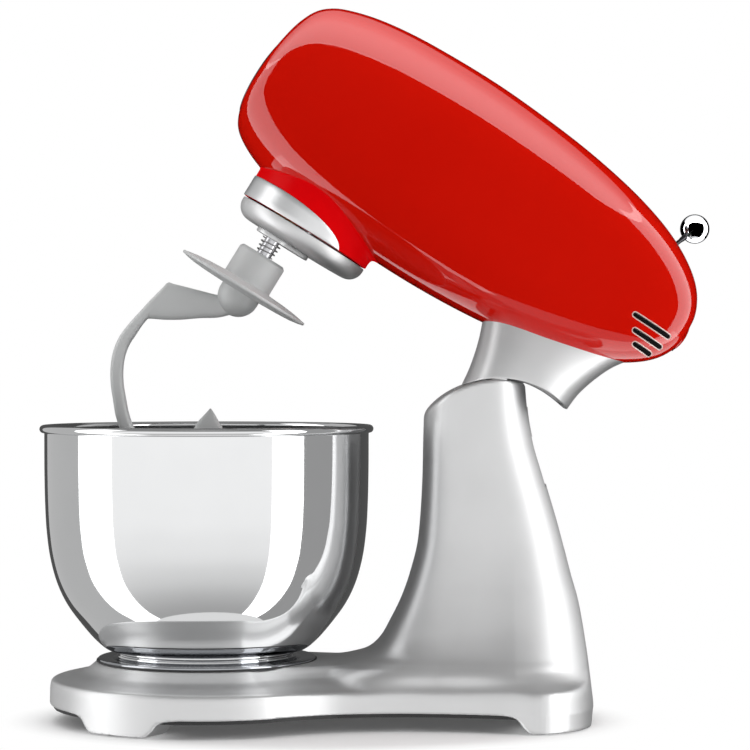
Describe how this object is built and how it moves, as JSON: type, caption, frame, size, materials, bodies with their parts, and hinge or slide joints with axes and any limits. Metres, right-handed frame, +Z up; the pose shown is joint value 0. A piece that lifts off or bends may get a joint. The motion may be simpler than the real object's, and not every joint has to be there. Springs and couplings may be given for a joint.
{
  "type": "stand mixer",
  "caption": "Retro tilt-head stand mixer with a glossy red head raised over a polished steel bowl, a dough hook, a satin silver stand and a chrome ball speed lever.",
  "frame": {"origin": "middle of the mixer's bounding box on the table, with the head raised", "axes": "+X to the rear (column side), +Z up, +Y across; the bowl and the head's nose are on the -X side"},
  "size_m": [0.4522, 0.223, 0.4782],
  "materials": {
    "satin_aluminium": "satin, fine silver paint",
    "red_enamel": "high gloss enamel",
    "chrome": "mirror chrome",
    "dark_chrome": "polished dark chrome",
    "polished_steel": "mirror polish",
    "grey_coating": "light grey smooth coating",
    "black_plastic": "fine matt grain",
    "rubber": "matt",
    "machined_steel": "turned, bright",
    "spring_steel": "dark drawn wire",
    "zinc_screws": "zinc plated",
    "sintered_bronze": "sintered, oiled",
    "cast_aluminium": "as cast",
    "laminated_steel": "varnished laminations",
    "copper": "enamelled winding wire",
    "brown_insulator": "moulded resin",
    "carbon": "matt",
    "nylon": "natural nylon",
    "circuit_board": "green solder mask"
  },
  "bodies": {
    "stand": {"stand_casting": "satin_aluminium", "base_cover": "black_plastic", "cover_screws": "zinc_screws", "rubber_feet": "rubber", "seat_ring": "dark_chrome", "cable_gland": "rubber", "hinge_pin": "machined_steel", "pin_bushes": "sintered_bronze", "stop_rollers": "rubber", "button_bezel": "satin_aluminium", "button_spring": "spring_steel"},
    "button": {"release_button": "chrome", "button_rod": "machined_steel"},
    "bowl": {"bowl_shell": "polished_steel", "bowl_foot": "polished_steel"},
    "head": {"head_shell": "red_enamel", "front_plate": "chrome", "rear_cap": "red_enamel", "trim_band": "chrome", "lever_plate": "black_plastic", "neck": "satin_aluminium", "hinge_arm": "cast_aluminium", "arm_screws": "zinc_screws", "head_frame": "cast_aluminium", "ring_gear": "sintered_bronze", "shaft_bearings": "machined_steel", "front_frame": "cast_aluminium", "rear_frame": "cast_aluminium", "motor_bearings": "machined_steel", "motor_stator": "laminated_steel", "field_coils": "copper", "motor_bolts": "zinc_screws", "brush_holders": "brown_insulator", "carbon_brushes": "carbon", "board_bracket": "cast_aluminium", "control_board": "circuit_board"},
    "carrier": {"planetary_cover": "satin_aluminium", "boss_plate": "chrome", "drive_shaft": "machined_steel", "crown_gear": "sintered_bronze", "tool_bush": "sintered_bronze"},
    "tool": {"tool_shaft": "machined_steel", "tool_pinion": "machined_steel", "cross_pin": "machined_steel", "tool_spring": "spring_steel"},
    "hook": {"hook_hub": "grey_coating", "dough_hook": "grey_coating"},
    "rotor": {"motor_shaft": "machined_steel", "armature": "laminated_steel", "commutator": "copper", "cooling_fan": "nylon", "motor_pinion": "machined_steel"},
    "lever": {"lever_hub": "black_plastic", "lever_stem": "chrome", "lever_knob": "chrome"}
  },
  "joints": [
    {"name": "head_tilt", "type": "hinge", "parent": "stand", "child": "head", "pos_m": [0.081, 0, 0.165], "axis": [0, 1, 0], "range_deg": [-31.6, 0]},
    {"name": "carrier_spin", "type": "hinge", "parent": "head", "child": "carrier", "pos_m": [-0.05551, 0, 0.31238], "axis": [0.524, 0, 0.8517], "continuous": true},
    {"name": "tool_spin", "type": "hinge", "parent": "carrier", "child": "tool", "pos_m": [-0.06785, -0.01379, 0.31997], "axis": [0.524, 0, 0.8517], "continuous": true},
    {"name": "motor_spin", "type": "hinge", "parent": "head", "child": "rotor", "pos_m": [0.08563, 0, 0.33474], "axis": [0.8517, 0, -0.524], "continuous": true},
    {"name": "hook_release", "type": "slide", "parent": "tool", "child": "hook", "axis": [-0.524, 0, -0.8517], "range_m": [0, 0.03]},
    {"name": "speed_lever", "type": "hinge", "parent": "head", "child": "lever", "pos_m": [0.15344, 0, 0.27894], "axis": [0.8517, 0, -0.524], "range_deg": [0, 46]},
    {"name": "bowl_lift", "type": "slide", "parent": "stand", "child": "bowl", "axis": [0, 0, 1], "range_m": [0, 0.08]},
    {"name": "release_press", "type": "slide", "parent": "stand", "child": "button", "axis": [-1, 0, 0], "range_m": [0, 0.004], "stiffness_N_per_m": 400, "deforming": ["button_spring"]}
  ],
  "couplings": [
    {"joint": "tool_spin", "follows": "carrier_spin", "ratio": -3},
    {"joint": "motor_spin", "follows": "carrier_spin", "ratio": 4}
  ]
}
